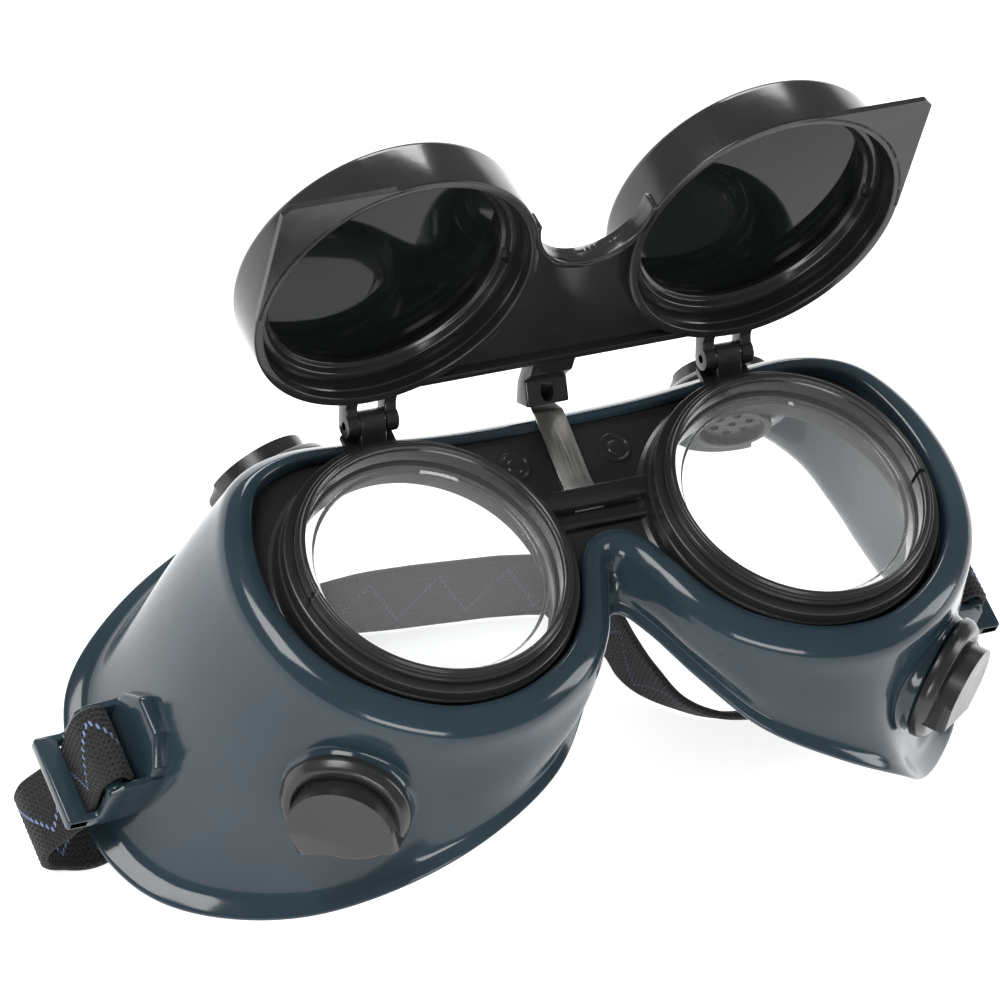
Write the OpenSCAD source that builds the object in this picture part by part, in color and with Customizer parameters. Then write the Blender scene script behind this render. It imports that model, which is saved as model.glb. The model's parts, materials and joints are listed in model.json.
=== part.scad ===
// Flip-front gas welding goggles, lying on their back on the head strap.
// The model is drawn in a lens frame: X to the wearer's left, Y to the forehead,
// Z out of the lenses, with the lens rings' front rims at Z = 0.  in_place() then
// moves everything onto the ground plane.

/* [Lenses] */
// Distance between the two lens centres
lens_pitch = 74; // [73:0.5:75]
// Radius of the round lenses
lens_r = 25; // [24.6:0.1:25.2]
// Thickness of the clear lenses
clear_lens_t = 2.2; // [1.5:0.1:2.4]
// Thickness of the dark shade lenses
shade_lens_t = 2.0; // [1.5:0.1:2.4]

/* [Goggle body] */
// Thickness of the soft moulded wall
wall_t = 2.0; // [1.6:0.1:2.4]
// How far the face flange flares out from the wall at the temples
flare_w = 6; // [4:0.5:7]
// Rise of the flare above the rim edge at the temples
flare_rise = 2.6; // [2:0.1:3.2]

/* [Front plate] */
// Height of the plate's front surface
plate_z = -9.7; // [-9.9:0.1:-9.6]
// Thickness of the plate
plate_t = 2.2; // [1.8:0.1:2.3]
// Outer radius of the lens housings
housing_r = 27.4; // [27:0.1:27.4]
// Height of the housings' front shoulder
shoulder_z = -2.9; // [-3.2:0.1:-2.9]

/* [Flip front] */
// How far the flip front stands open
open_angle = 98; // [60:1:105]
// Distance of the hinge axis above the lens centres
hinge_y = 31.8; // [31.5:0.1:32]
// Height of the hinge axis
hinge_z = -3.3; // [-3.4:0.1:-3.2]
// Depth of the two shade cups
cup_depth = 10.8; // [10:0.1:12]
// Wall thickness of the shade cups
cup_wall = 1.8; // [1.5:0.1:1.9]
// Radius of the nose notch between the cups
notch_r = 11; // [10:0.5:11.5]

/* [Hinges and latch] */
// Distance of each hinge from the middle
hinge_x = 36.4; // [34:0.2:38]
// Radius of the hinge knuckles
knuckle_r = 2.3; // [2:0.1:2.4]
// Radius of the hinge pins
pin_r = 0.8; // [0.6:0.05:0.9]
// Width of the steel leaf spring
leaf_w = 6; // [5:0.5:6.5]

/* [Vents] */
// Radius of the vent flanges
vent_r = 11.6; // [11:0.1:12]
// Height of the vent hoods above their flanges
hood_h = 2.7; // [2.4:0.1:3.2]

/* [Strap] */
// Width of the elastic head strap
strap_w = 15.2; // [14.4:0.2:15.4]
// Thickness of the elastic head strap
strap_t = 1.5; // [1.2:0.1:1.6]

/* [Hidden] */
$fn = 96;

// Where the lens frame's origin stands above the ground, and how far the outline's middle is off it
floor_drop = 78.38;
middle_y = 3.69;
fit_gap = 0.15;

// One half of the body, from the middle of the forehead round the temple to the nose.
// Each row: lip x, lip y, lip width, lip height, rim x, rim y, rim z
stations = [
    [0, 31.5, 4.6, -8.4, 0, 34.5, -21],
    [20, 31.8, 4.6, -8.2, 25, 36, -23],
    [38, 33, 4.6, -7.4, 48, 37.5, -32],
    [53, 33, 4.8, -6.6, 65, 36.5, -45],
    [64.3, 28.2, 5.6, -6, 77, 32.5, -57],
    [71, 17.4, 6.4, -5.6, 85, 24.5, -64],
    [73.6, 3.9, 6.8, -5.4, 89, 10, -66],
    [71.8, -9.3, 6.8, -5, 90, -5, -66.5],
    [66.4, -19.9, 6.8, -4.8, 85.2, -18, -66],
    [57.6, -28.3, 6.8, -4.6, 76, -28, -62],
    [46.5, -33.6, 6.8, -4.6, 64, -37.2, -52],
    [35.8, -34.6, 6.8, -4.6, 51.4, -43.2, -37.5],
    [25.2, -32.4, 6.8, -4.6, 36, -42, -28.6],
    [14.7, -26.6, 6.8, -4.8, 21, -35, -23.4],
    [7.6, -18.4, 6.6, -5, 11.5, -24, -20],
    [3.5, -9.5, 6.4, -5.4, 5, -14, -17.8],
    [0, -3.5, 6.2, -5.8, 0, -9, -17]];
half = len(stations) - 1;
steps = 3;
round_count = 2 * half * steps;

// Lens stack, from the seat in the housing forward
seat_z = -7.4;
gasket_t = 0.8;
clear_z = seat_z + gasket_t;
ring_z = clear_z + clear_lens_t;
ring_inner_r = lens_r - 1.5;
bore_r = lens_r + fit_gap;
window_r = lens_r - 1.8;

// Flip front, drawn shut
cup_rim_z = shoulder_z + 0.1;
cup_top_z = cup_rim_z + cup_depth;
cup_r = housing_r;
cup_bore_r = cup_r - cup_wall;
shade_z = cup_top_z - 1.8 - shade_lens_t;
shade_ring_t = 2.8;
web_t = 1.9;
web_top_z = cup_rim_z + 3.8;
hinge_edge_y = 25.7;

// Hinge spacing: a knuckle of the plate between two ears of the flip front
knuckle_w = 5;
ear_w = 2.4;
ear_gap = 0.15;

// Strap lug, on the wearer's left side
lug_y = 3.1;
lug_half = 8.6;
bar_x = 89;
bar_z = -50.8;
bar_r = 2;

// ---- The body's outline as a closed smooth curve through the stations ----

function mirrored(s) = [-s[0], s[1], s[2], s[3], -s[4], s[5], s[6]];
function station(i) =
    let (k = (i % (2 * half) + 2 * half) % (2 * half))
    k <= half ? stations[k] : mirrored(stations[2 * half - k]);
function spline(a, b, c, d, t) =
    0.5 * (2 * b + (c - a) * t + (2 * a - 5 * b + 4 * c - d) * t * t
           + (3 * b - a - 3 * c + d) * t * t * t);
function at(j) =
    let (i = floor(j / steps), t = j / steps - i)
    spline(station(i - 1), station(i), station(i + 1), station(i + 2), t);
curve = [for (j = [0 : round_count - 1]) at(j)];
function wrap(j) = (j + round_count) % round_count;
function unit(v) = v / norm(v);
function inward(j, k) =
    let (a = curve[wrap(j - 1)], b = curve[wrap(j + 1)],
         d = unit([b[k] - a[k], b[k + 1] - a[k + 1]]))
    [d[1], -d[0]];
function lip_in(j) = inward(j, 0);
function rim_in(j) = inward(j, 4);
function lip_point(j, inset, z) =
    let (c = curve[j], n = lip_in(j)) [c[0] + inset * n[0], c[1] + inset * n[1], z];
function rim_point(j, inset, rise) =
    let (c = curve[j], n = rim_in(j)) [c[4] + inset * n[0], c[5] + inset * n[1], c[6] + rise];

// One cross-section of the body wall, from the lip's groove round the outside and back inside
groove_front_z = plate_z + 0.1;
groove_back_z = plate_z - plate_t - 0.1;
lip_back_z = groove_back_z - 1;
// The flare fades from the low temples to the high nose and forehead
temple_drop = 49;
nose_z = -17;
function flare_share(j) = 0.3 + 0.7 * (nose_z - curve[j][6]) / temple_drop;
function section(j) =
    let (lip_w = curve[j][2],
         top = curve[j][3],
         flare = flare_w * flare_share(j),
         rise = flare_rise * flare_share(j),
         wall_top = lip_point(j, 0, min(top - 6, lip_back_z + 1.4)),
         wall_end = rim_point(j, flare, rise),
         bulge = [-0.8 * lip_in(j)[0], -0.8 * lip_in(j)[1], 0],
         wall_top_in = lip_point(j, wall_t, lip_back_z),
         wall_end_in = rim_point(j, flare + wall_t, rise - 1))
    [lip_point(j, lip_w, groove_front_z),
     lip_point(j, lip_w, top - 0.9),
     lip_point(j, lip_w - 0.8, top - 0.2),
     lip_point(j, lip_w / 2 + 0.6, top),
     lip_point(j, 2.2, top - 0.9),
     lip_point(j, 0.8, top - 2.7),
     lip_point(j, 0.1, top - 4.6),
     wall_top,
     (wall_top + wall_end) / 2 + bulge,
     wall_end,
     rim_point(j, flare * 0.35 + 0.2, rise * 0.5),
     rim_point(j, 0.5, 0.1),
     rim_point(j, 0, -0.7),
     rim_point(j, 0.7, -1.5),
     rim_point(j, flare * 0.5 + 0.8, rise * 0.4 - 2),
     wall_end_in,
     (wall_top_in + wall_end_in) / 2 + bulge,
     wall_top_in,
     lip_point(j, lip_w, lip_back_z),
     lip_point(j, lip_w, groove_back_z),
     lip_point(j, lip_w - 1.6, groove_back_z),
     lip_point(j, lip_w - 1.6, groove_front_z)];

// A closed skin over rings of equal length, joined end to end
module torus_skin(rings) {
    m = len(rings[0]);
    n = len(rings);
    points = [for (r = rings) for (q = r) q];
    faces = [for (i = [0 : n - 1]) for (k = [0 : m - 1]) each
        let (next = (k + 1) % m, i_next = (i + 1) % n,
             a = i * m + k, b = i * m + next, c = i_next * m + next, d = i_next * m + k)
        [[a, b, c], [a, c, d]]];
    polyhedron(points, faces);
}

// ---- Shared helpers ----

module in_place() translate([0, -middle_y, floor_drop]) children();
module at_lens(side) translate([side * lens_pitch / 2, 0, 0]) children();
module tube(r_out, r_in, z0, z1) {
    translate([0, 0, z0])
        difference() {
            cylinder(r = r_out, h = z1 - z0);
            translate([0, 0, -1]) cylinder(r = r_in, h = z1 - z0 + 2);
        }
}
module disc(r, z0, z1) translate([0, 0, z0]) cylinder(r = r, h = z1 - z0);
module block(x0, x1, y0, y1, z0, z1) translate([x0, y0, z0]) cube([x1 - x0, y1 - y0, z1 - z0]);
// A profile drawn in Y and Z, thick along X
module side_plate(x0, x1) translate([x0, 0, 0]) rotate([90, 0, 90]) linear_extrude(x1 - x0) children();
module rod_x(r, x0, x1, y, z) translate([x0, y, z]) rotate([0, 90, 0]) cylinder(r = r, h = x1 - x0);
module rod_y(r, x, y0, y1, z) translate([x, y0, z]) rotate([-90, 0, 0]) cylinder(r = r, h = y1 - y0);

// ---- Vents: a flanged hood plugged into the wall ----

upper_vent = [47, 36.6, -27.6];
lower_vent = [60.7, -31.2, -26];
module at_vent(side, upper) {
    place = upper ? upper_vent : lower_vent;
    turn = upper ? 76 : -52;
    mirror([side < 0 ? 1 : 0, 0, 0])
        translate(place)
            rotate([0, 82, turn])
                children();
}
vent_stem_r = 7.4;
vent_stem_bore = 6;
vent_hole_r = vent_stem_r + 0.1;
vent_flange_t = 3.1;
boss_top = -0.65;
boss_bottom = -3.6;
stem_bottom = -6.6;
hood_half = 9.2;
hood_x = 2.2;
hood_end = 5.8;
hood_wall = 1.1;
hood_turn = -29;
// A hood is round toward the lens and cut straight across on its open side
module hood_outline(inset, end) {
    intersection() {
        union() {
            translate([hood_x, 0]) circle(r = hood_half - inset);
            translate([hood_x, inset - hood_half]) square([end, 2 * (hood_half - inset)]);
        }
        translate([-vent_r, -vent_r]) square([vent_r + end, 2 * vent_r]);
    }
}
module vent(upper) {
    flange_z = boss_top + 0.05;
    hood_z = flange_z + vent_flange_t;
    hood_top = hood_z + hood_h;
    rotate([0, 0, upper ? 0 : hood_turn])
        difference() {
            union() {
                disc(vent_r, flange_z, hood_z);
                disc(vent_stem_r, stem_bottom, hood_z);
                translate([0, 0, flange_z + 0.5])
                    linear_extrude(hood_top - flange_z - 0.5) hood_outline(0, hood_end);
            }
            disc(vent_stem_bore, stem_bottom - 1, hood_z + 0.4);
            translate([0, 0, hood_z - 0.15]) linear_extrude(hood_h - hood_wall)
                hood_outline(hood_wall, hood_end + 2);
        }
}
baffle_z = -5.4;
baffle_t = 0.8;
baffle_hole_r = 0.9;
module vent_baffle() {
    difference() {
        disc(vent_stem_bore - 0.05, baffle_z, baffle_z + baffle_t);
        for (a = [0 : 60 : 300])
            rotate([0, 0, a]) translate([3.4, 0, 0]) disc(baffle_hole_r, baffle_z - 1, baffle_z + 2);
        disc(baffle_hole_r, baffle_z - 1, baffle_z + 2);
    }
}

module placed_vent(side, upper) {
    color([0.1, 0.1, 0.1])
    in_place()
    at_vent(side, upper) vent(upper);
}
module placed_baffle(side, upper) {
    color([0.1, 0.1, 0.1])
    in_place()
    at_vent(side, upper) vent_baffle();
}

// ---- Soft body with its strap lugs ----

lug_arm_t = 1.5;
lug_pad_t = 3.8;
// Side view of an arm in X and Z, from the pad round the bar's end to the outer plate
module lug_arm(y) {
    translate([0, y + lug_arm_t / 2, 0])
        rotate([90, 0, 0])
            linear_extrude(lug_arm_t)
                polygon([[80.8, -48], [bar_x - 0.7, bar_z + bar_r], [bar_x + bar_r, bar_z + 0.5],
                         [bar_x + bar_r + 0.4, -56.9], [97.1, -57.1], [97.1, -59.5],
                         [88, -59.6], [80.8, -57.5]]);
}
module lug() {
    reach = lug_half + lug_arm_t / 2;
    translate([80.16, lug_y, -50.66])
        rotate([0, 80, 0])
            linear_extrude(lug_pad_t)
                polygon([[6.6, -8.7], [6.6, 8.7], [-4.4, 8.7], [-9.3, 4], [-9.3, -4], [-4.4, -8.7]]);
    lug_arm(lug_y - lug_half);
    lug_arm(lug_y + lug_half);
    rod_y(bar_r, bar_x, lug_y - lug_half, lug_y + lug_half, bar_z);
    block(93, 97.4, lug_y - reach, lug_y + reach, -59.6, -57);
}
module goggle_body() {
    color([0.16, 0.21, 0.25])
    in_place()
    difference() {
        union() {
            torus_skin([for (j = [0 : round_count - 1]) section(j)]);
            for (side = [-1, 1])
                for (upper = [true, false])
                    at_vent(side, upper) disc(vent_r + 0.7, boss_bottom, boss_top + 0.3);
            lug();
            mirror([1, 0, 0]) lug();
        }
        for (side = [-1, 1])
            for (upper = [true, false])
                at_vent(side, upper) {
                    disc(vent_hole_r, stem_bottom - 2, boss_top + 3);
                    disc(vent_r + 0.2, boss_top, boss_top + 3);
                }
    }
}

// ---- Rigid front plate: lens housings, hinge ears, latch slot ----

module plate_outline() {
    polygon([for (j = [0 : round_count - 1])
        let (q = lip_point(j, curve[j][2] - 1.4, 0)) [q[0], q[1]]]);
}
module knuckle_profile() {
    difference() {
        union() {
            polygon([[24.5, -7], [24.5, -5.3], [27.7, -5.3], [hinge_y - 1.2, hinge_z + knuckle_r - 0.35],
                     [hinge_y, hinge_z + knuckle_r], [hinge_y, hinge_z - knuckle_r], [29.5, -7]]);
            translate([hinge_y, hinge_z]) circle(r = knuckle_r);
        }
        translate([hinge_y, hinge_z]) circle(r = pin_r);
    }
}
module knuckle(side) {
    x0 = side * hinge_x - knuckle_w / 2;
    side_plate(x0, x0 + knuckle_w) knuckle_profile();
    block(x0 - ear_w, x0 + knuckle_w + ear_w, 25, hinge_y, -7.2, -6.1);
}
module front_plate() {
    color([0.12, 0.12, 0.12])
    in_place()
    difference() {
        union() {
            translate([0, 0, plate_z - plate_t]) linear_extrude(plate_t) plate_outline();
            for (side = [-1, 1]) {
                at_lens(side) disc(housing_r, plate_z - plate_t, shoulder_z);
                knuckle(side);
            }
            block(-13, 13, 8.6, 12.8, plate_z - 0.5, plate_z + 2.2);
            block(-15, 15, 4.8, 6.4, plate_z - 0.5, plate_z + 1.2);
        }
        for (side = [-1, 1])
            at_lens(side) {
                disc(window_r, plate_z - plate_t - 1, seat_z + 1);
                disc(bore_r, seat_z, shoulder_z + 1);
            }
        block(-leaf_w / 2 - 0.2, leaf_w / 2 + 0.2, 8, 13.5, plate_z, plate_z + 0.8);
    }
}

// ---- Clear lenses, their gaskets and split rings ----

module clear_lens(side) {
    color([0.85, 0.88, 0.9, 0.35])
    in_place()
    at_lens(side) {
        difference() {
            disc(lens_r, clear_z, ring_z);
            disc(lens_r - 3.4, ring_z - 0.7, ring_z + 1);
        }
    }
}
module lens_gasket(side) {
    color([0.08, 0.08, 0.08])
    in_place()
    at_lens(side) tube(lens_r, window_r + 0.1, seat_z, clear_z);
}
split_w = 0.8;
module split_ring(side) {
    color([0.1, 0.1, 0.1])
    in_place()
    at_lens(side)
        difference() {
            union() {
                tube(lens_r, ring_inner_r, ring_z, 0);
                tube(lens_r + 0.35, lens_r - 0.6, shoulder_z + 0.05, -0.5);
            }
            rotate([0, 0, side < 0 ? 186 : -6])
                block(lens_r - 4, lens_r + 2, -split_w / 2, split_w / 2, ring_z - 1, 1);
        }
}

// ---- Flip front: drawn shut, then opened about its hinge ----

module opened() {
    translate([0, hinge_y, hinge_z])
        rotate([-open_angle, 0, 0])
            translate([0, -hinge_y, -hinge_z])
                children();
}
module tab(side) {
    at_lens(side)
        linear_extrude(1.2)
            polygon([[0, 1 - cup_r], [0, 0.6 - cup_r], [side * (cup_r - 1.5), 0.6 - cup_r],
                     [side * cup_r, 2 - cup_r], [side * cup_r, 0], [side * (cup_r - 1), 0]]);
}
module web_area() {
    difference() {
        translate([-lens_pitch / 2, -12]) square([lens_pitch, hinge_edge_y + 12]);
        translate([0, -11.2]) circle(r = notch_r);
        translate([-lens_pitch / 2, -40]) square([lens_pitch, 28.8]);
    }
}
module ear_profile() {
    difference() {
        union() {
            polygon([[25, cup_rim_z + 0.2], [25, cup_rim_z + 3.6], [28.2, cup_rim_z + 3.6],
                     [hinge_y + 1.2, hinge_z + knuckle_r - 0.4], [hinge_y - knuckle_r, hinge_z],
                     [28.2, cup_rim_z + 0.2]]);
            translate([hinge_y, hinge_z]) circle(r = knuckle_r);
        }
        translate([hinge_y, hinge_z]) circle(r = pin_r + 0.05);
    }
}
module ear_pair(side) {
    inner = knuckle_w / 2 + ear_gap;
    for (x = [hinge_x - inner - ear_w, hinge_x + inner])
        translate([side < 0 ? -2 * x - ear_w : 0, 0, 0])
            side_plate(x, x + ear_w) ear_profile();
}
latch_w = 8.6;
module latch_block() {
    difference() {
        side_plate(-latch_w / 2, latch_w / 2)
            polygon([[25.2, cup_rim_z], [25.2, web_top_z], [29.6, web_top_z], [33.5, 1],
                     [37.6, -0.6], [34.9, -4.6], [31.2, -1.4], [28.4, cup_rim_z]]);
        translate([0, 32.6, -3.4]) rotate([-42, 0, 0]) scale([1, 1.5, 1]) cylinder(r = 1.3, h = 3.6);
    }
}
module flip_front() {
    color([0.11, 0.11, 0.11])
    in_place()
    opened()
    difference() {
        union() {
            for (side = [-1, 1]) {
                at_lens(side) disc(cup_r, cup_rim_z, cup_top_z);
                translate([0, 0, cup_rim_z]) tab(side);
                ear_pair(side);
            }
            translate([0, 0, cup_rim_z]) linear_extrude(web_top_z - cup_rim_z) web_area();
            latch_block();
        }
        for (side = [-1, 1])
            at_lens(side) {
                disc(cup_bore_r, cup_rim_z - 1, shade_z + shade_lens_t);
                disc(lens_r - 3.2, cup_rim_z, cup_top_z + 1);
            }
        difference() {
            translate([0, 0, cup_rim_z - 1])
                linear_extrude(web_top_z - web_t - cup_rim_z + 1) offset(delta = -1.6) web_area();
            for (side = [-1, 1])
                at_lens(side) disc(cup_r, cup_rim_z - 2, cup_top_z);
            block(-latch_w / 2, latch_w / 2, 22, 30, cup_rim_z - 2, web_top_z);
        }
    }
}
module shade_lens(side) {
    color([0.05, 0.09, 0.06])
    in_place()
    opened()
    at_lens(side) disc(lens_r, shade_z, shade_z + shade_lens_t);
}
module shade_ring(side) {
    color([0.09, 0.09, 0.09])
    in_place()
    opened()
    at_lens(side)
        difference() {
            tube(cup_bore_r - 0.05, lens_r - 2.6, shade_z - shade_ring_t, shade_z);
            translate([0, 0, shade_z - shade_ring_t - 0.1])
                cylinder(r1 = lens_r - 1.4, r2 = lens_r - 2.6, h = 1.4);
            rotate([0, 0, -92])
                block(lens_r - 4, lens_r - 1.2, -1.6, 1.6, shade_z - shade_ring_t - 1, shade_z - 1.2);
        }
}
module hinge_pin(side) {
    color([0.62, 0.6, 0.57])
    in_place()
    let (half_w = knuckle_w / 2 + ear_gap + ear_w)
        rod_x(pin_r, side * hinge_x - half_w, side * hinge_x + half_w, hinge_y, hinge_z);
}

// ---- Latch leaf ----

leaf_t = 0.5;
module leaf_spring() {
    color([0.62, 0.6, 0.57])
    in_place()
    side_plate(-leaf_w / 2, leaf_w / 2)
        polygon([[8.6, plate_z + 0.1], [15.4, plate_z + 0.1], [29.4, -7.85], [31.05, -8.5],
                 [31.1, -8.1], [29.5, -7.85 + leaf_t], [15.2, plate_z + 0.1 + leaf_t],
                 [8.6, plate_z + 0.1 + leaf_t]]);
}

// ---- Elastic head strap: laced through both lugs and lying behind the goggles ----

// Each row: centre-line point and the direction across the band.  The wearer's left end
strap_lug_route = [
    [[90, lug_y, -62.6], [0, -1, 0]],
    [[88, lug_y, -60.4], [0, -1, 0]],
    [[86.5, lug_y, -57], [0, -1, 0]],
    [[85.9, lug_y, -51.5], [0, -1, 0]],
    [[86.7, lug_y, -48.3], [0, -1, 0]],
    [[89, lug_y, -47.1], [0, -1, 0]],
    [[91.2, lug_y, -48.6], [0, -1, 0]],
    [[91.9, lug_y, -52], [0, -1, 0]],
    [[91.9, lug_y, -60.4], [0, -1, 0]],
    [[94.4, lug_y, -65], [0, -1, 0]],
    [[97.8, lug_y, -69.6], [0, -1, 0]],
    [[97.2, lug_y, -74.6], [0, -1, 0]],
    [[92.6, lug_y, -77], [0, -1, 0]],
    [[86, lug_y - 0.5, -77.1], [0, -1, 0]]];
strap_back_route = [
    [[77, 0, -75.2], [0, -0.95, 0.32]],
    [[66, -4.5, -73], [-0.05, -0.8, 0.6]],
    [[56, -6.8, -71.9], [-0.08, -0.68, 0.73]],
    [[47.6, -6.2, -71.6], [-0.15, -0.54, 0.83]],
    [[39.6, -4.2, -71.6], [-0.25, -0.52, 0.82]],
    [[33.6, -0.2, -71.2], [-0.28, -0.44, 0.85]],
    [[29.6, 5.3, -70.5], [-0.2, -0.2, 0.96]],
    [[27.6, 11.1, -70.4], [-0.12, -0.02, 0.99]],
    [[27, 16.6, -70.4], [-0.1, 0, 0.99]],
    [[25, 23, -70.4], [-0.05, 0.05, 0.99]],
    [[19, 29, -70.4], [0, 0.18, 0.98]],
    [[9.5, 31.3, -70.4], [0, 0.24, 0.97]],
    [[-1, 32.5, -70.5], [0, 0.26, 0.965]],
    [[-12, 33.5, -70.5], [0, 0.26, 0.965]],
    [[-23, 34.2, -70.5], [0, 0.2, 0.98]],
    [[-36, 33, -70.4], [0, 0.1, 0.99]],
    [[-49, 27, -70.4], [0, 0, 1]],
    [[-61, 18, -70.4], [0.05, -0.2, 0.98]],
    [[-71, 9.5, -72], [0.1, -0.7, 0.7]],
    [[-79, 5, -74.7], [0.1, -0.95, 0.3]]];
function flip_x(row) = [[-row[0][0], row[0][1], row[0][2]], row[1]];
strap_route = concat(strap_lug_route, strap_back_route,
    [for (i = [len(strap_lug_route) - 1 : -1 : 0]) flip_x(strap_lug_route[i])]);
function strap_at(i) = strap_route[max(0, min(len(strap_route) - 1, i))];
function strap_smooth(j) =
    let (i = floor(j / 2), t = j / 2 - i)
    [for (k = [0, 1])
        spline(strap_at(i - 1)[k], strap_at(i)[k], strap_at(i + 1)[k], strap_at(i + 2)[k], t)];
strap_count = 2 * (len(strap_route) - 1);
function strap_ring(j) =
    let (here = strap_smooth(j),
         ahead = strap_smooth(min(j + 1, strap_count)), behind = strap_smooth(max(j - 1, 0)),
         along = unit(ahead[0] - behind[0]), raw = here[1],
         across = unit(raw - (raw * along) * along), out = cross(along, across),
         w = across * strap_w / 2, t = out * strap_t / 2)
    [here[0] - w - t, here[0] + w - t, here[0] + w + t, here[0] - w + t];
module head_strap() {
    color([0.07, 0.07, 0.08])
    in_place() {
        rings = [for (j = [0 : strap_count]) strap_ring(j)];
        last = 4 * strap_count;
        caps = [[0, 1, 2], [0, 2, 3], [last + 2, last + 1, last], [last + 3, last + 2, last]];
        faces = concat(caps,
            [for (j = [0 : strap_count - 1]) for (k = [0 : 3]) each
                let (a = 4 * j + k, b = 4 * j + (k + 1) % 4) [[a, a + 4, b + 4], [a, b + 4, b]]]);
        polyhedron([for (r = rings) for (q = r) q], faces);
    }
}

// ---- Nodes ----

goggle_body();
front_plate();
clear_lens(1);  // clear_lens_left
clear_lens(-1);  // clear_lens_right
lens_gasket(1);  // lens_gasket_left
lens_gasket(-1);  // lens_gasket_right
split_ring(1);  // split_ring_left
split_ring(-1);  // split_ring_right
flip_front();
shade_lens(1);  // shade_lens_left
shade_lens(-1);  // shade_lens_right
shade_ring(1);  // shade_ring_left
shade_ring(-1);  // shade_ring_right
hinge_pin(1);  // hinge_pin_left
hinge_pin(-1);  // hinge_pin_right
leaf_spring();
placed_vent(1, true);  // vent_upper_left
placed_vent(-1, true);  // vent_upper_right
placed_vent(1, false);  // vent_lower_left
placed_vent(-1, false);  // vent_lower_right
placed_baffle(1, true);  // vent_baffle_upper_left
placed_baffle(-1, true);  // vent_baffle_upper_right
placed_baffle(1, false);  // vent_baffle_lower_left
placed_baffle(-1, false);  // vent_baffle_lower_right
head_strap();
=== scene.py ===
"""Looks for the flip-front welding goggles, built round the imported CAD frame.

Shapes are worked out in millimetres in the goggles' lens frame: X to the wearer's left, Y to the
forehead, Z out of the lenses, with the rings' front rims at Z = 0.  world() turns that into the
row frame in metres, using the places of the CAD nodes.
"""

import json
import math

import bmesh
import bpy
import numpy as np
from mathutils import Matrix, Vector
from mathutils.bvhtree import BVHTree

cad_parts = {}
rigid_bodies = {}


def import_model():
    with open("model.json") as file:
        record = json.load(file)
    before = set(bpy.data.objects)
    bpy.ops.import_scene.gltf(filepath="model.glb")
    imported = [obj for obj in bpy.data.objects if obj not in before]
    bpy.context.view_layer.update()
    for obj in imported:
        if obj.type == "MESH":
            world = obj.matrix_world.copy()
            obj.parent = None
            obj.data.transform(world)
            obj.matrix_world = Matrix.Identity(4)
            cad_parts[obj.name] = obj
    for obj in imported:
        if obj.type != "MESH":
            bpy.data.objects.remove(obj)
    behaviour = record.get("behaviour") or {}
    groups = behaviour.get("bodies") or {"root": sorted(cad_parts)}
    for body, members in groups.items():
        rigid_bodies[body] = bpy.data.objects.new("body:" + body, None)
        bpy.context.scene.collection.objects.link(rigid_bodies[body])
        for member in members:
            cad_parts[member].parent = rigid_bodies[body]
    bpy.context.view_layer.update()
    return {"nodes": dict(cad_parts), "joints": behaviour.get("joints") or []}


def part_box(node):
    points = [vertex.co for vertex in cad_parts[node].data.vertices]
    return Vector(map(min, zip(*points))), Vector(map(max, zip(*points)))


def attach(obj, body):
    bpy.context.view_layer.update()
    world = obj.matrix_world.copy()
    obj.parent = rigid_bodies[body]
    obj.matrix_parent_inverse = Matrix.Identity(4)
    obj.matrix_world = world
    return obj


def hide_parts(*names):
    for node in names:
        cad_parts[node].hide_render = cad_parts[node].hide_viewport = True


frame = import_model()
NODES = frame["nodes"]

MM = 0.001
lens_lo, lens_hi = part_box("clear_lens_left")
ORIGIN = Vector((0, (lens_lo.y + lens_hi.y) / 2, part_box("split_ring_left")[1].z))
TO_ROW = Matrix.Translation(ORIGIN) @ Matrix.Scale(MM, 4)
PITCH = (lens_lo.x + lens_hi.x) / MM
LENS_R = (lens_hi.x - lens_lo.x) / 2 / MM
HINGE = frame["joints"][0]
OPEN_ANGLE = HINGE["range_deg"][1]
hinge_at = (Vector(HINGE["pos_m"]) - ORIGIN) / MM
HINGE_Y, HINGE_Z = hinge_at.y, hinge_at.z
OPENED = (Matrix.Translation((0, HINGE_Y, HINGE_Z)) @ Matrix.Rotation(math.radians(-OPEN_ANGLE), 4, "X")
          @ Matrix.Translation((0, -HINGE_Y, -HINGE_Z)))
GOGGLES = HINGE["parent"]
FLIP = HINGE["child"]


def world(p):
    return TO_ROW @ Vector(p)


# ---- Camera, floor and light ----

def make_camera():
    data = bpy.data.cameras.new("camera")
    data.sensor_width = 36
    data.lens = 223.5
    data.clip_start = 0.01
    data.clip_end = 20
    cam = bpy.data.objects.new("camera", data)
    right = Vector((0.889581, -0.378074, 0.256333))
    up = Vector((0.174899, 0.800337, 0.573472))
    back = right.cross(up)
    place = Matrix((right, up, back)).transposed().to_4x4()
    place.translation = world((-486.96, -505.42, 859.41))
    cam.matrix_world = place
    bpy.context.scene.collection.objects.link(cam)
    bpy.context.scene.camera = cam


def area_light(name, place, target, size, power, tint=(1, 1, 1), size_y=None):
    data = bpy.data.lights.new(name, "AREA")
    data.shape = "RECTANGLE"
    data.size = size
    data.size_y = size_y or size
    data.energy = power
    data.color = tint
    lamp = bpy.data.objects.new(name, data)
    lamp.location = place
    lamp.rotation_euler = (Vector(target) - Vector(place)).to_track_quat("-Z", "Y").to_euler()
    bpy.context.scene.collection.objects.link(lamp)


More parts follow.
